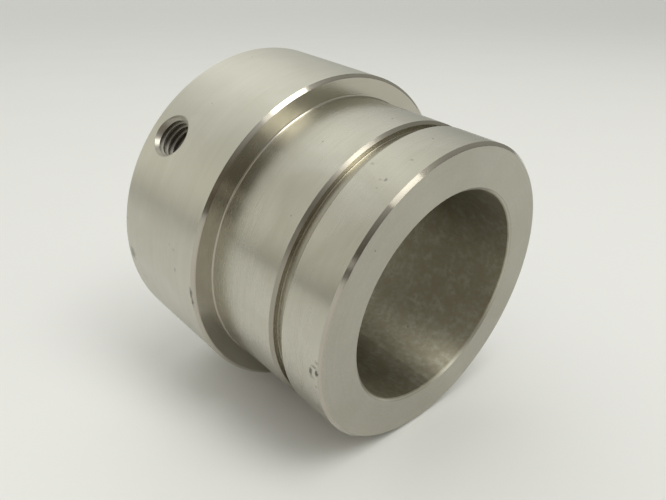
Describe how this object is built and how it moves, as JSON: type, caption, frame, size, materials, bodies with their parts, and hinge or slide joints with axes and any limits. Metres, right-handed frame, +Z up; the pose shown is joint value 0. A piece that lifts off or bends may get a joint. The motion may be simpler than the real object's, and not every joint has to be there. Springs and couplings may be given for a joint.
{
  "type": "rigid sleeve coupling",
  "caption": "Short round sleeve with a plain bore: a wide collar with a tapped radial hole and a recessed grub screw, a square shoulder, and a narrower nose with a ring groove.",
  "frame": {"origin": "on the bore's axis, halfway along the sleeve", "axes": "+X along the bore from the collar to the nose; +Z up as the sleeve lies on its collar; the tapped hole points 45 degrees up towards -Y"},
  "size_m": [0.065, 0.08, 0.08],
  "materials": {
    "turned_stainless": "satin stainless steel with fine turning marks round the axis, duller inside the bore and the groove",
    "screw_steel": "plain stainless steel, cold-formed, slightly dull"
  },
  "bodies": {
    "sleeve": {"sleeve": "turned_stainless"},
    "set_screw": {"set_screw": "screw_steel"}
  },
  "joints": [
    {"name": "set_screw_travel", "type": "slide", "parent": "sleeve", "child": "set_screw", "axis": [0, -0.7071, 0.7071], "range_m": [-0.0015, 0.0075]}
  ]
}
